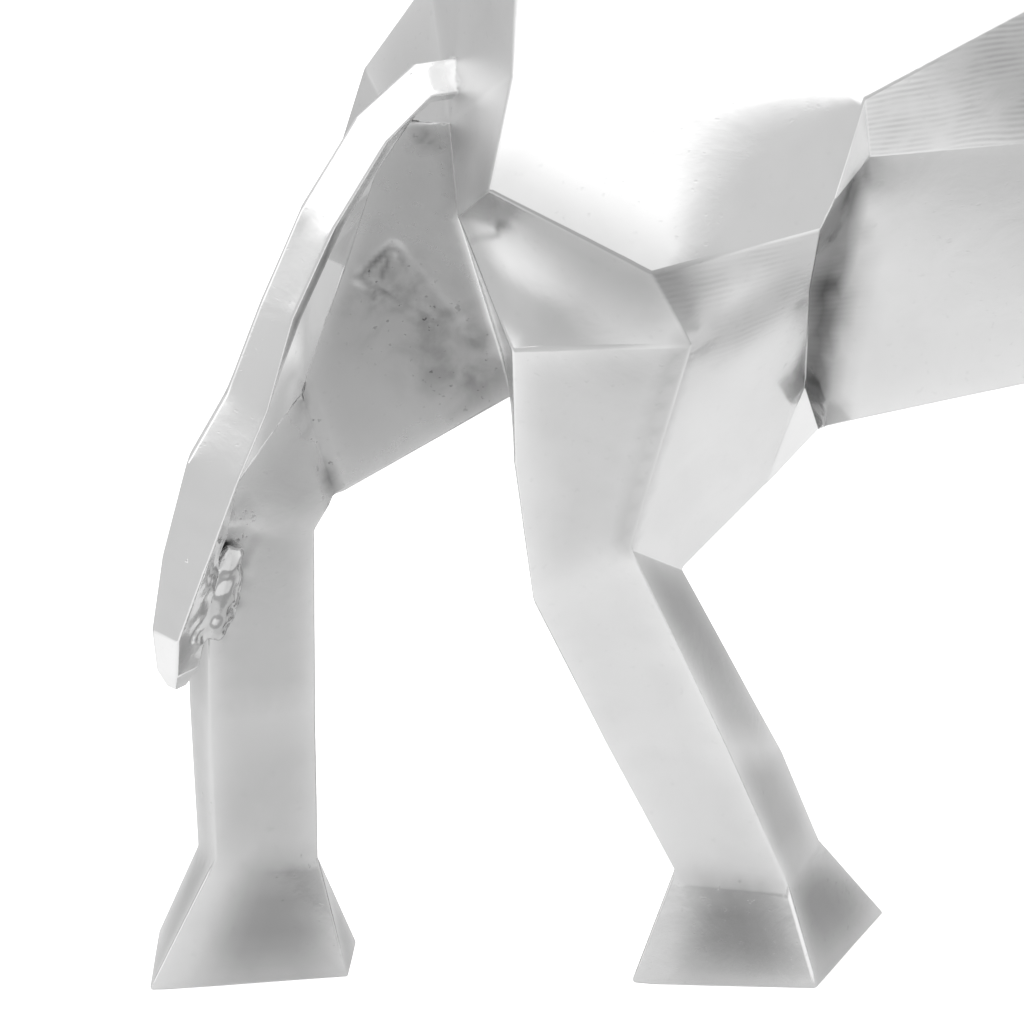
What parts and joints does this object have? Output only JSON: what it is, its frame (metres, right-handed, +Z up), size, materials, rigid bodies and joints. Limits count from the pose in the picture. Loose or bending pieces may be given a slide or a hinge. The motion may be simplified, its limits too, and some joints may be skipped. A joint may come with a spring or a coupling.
{
  "type": "bull sculpture",
  "caption": "Faceted walking bull figure in polished cast aluminium, hump-backed with a lowered head, curved horns and a hanging tail, standing on flared hoofs.",
  "frame": {"origin": "on the floor plane, under the centre of the figure's box", "axes": "+X forward to the head, +Y to the bull's left, +Z up"},
  "size_m": [0.3546, 0.096, 0.2298],
  "materials": {
    "bull": "polished, slightly uneven as cast"
  },
  "bodies": {
    "root": {"bull": "bull"}
  },
  "joints": []
}
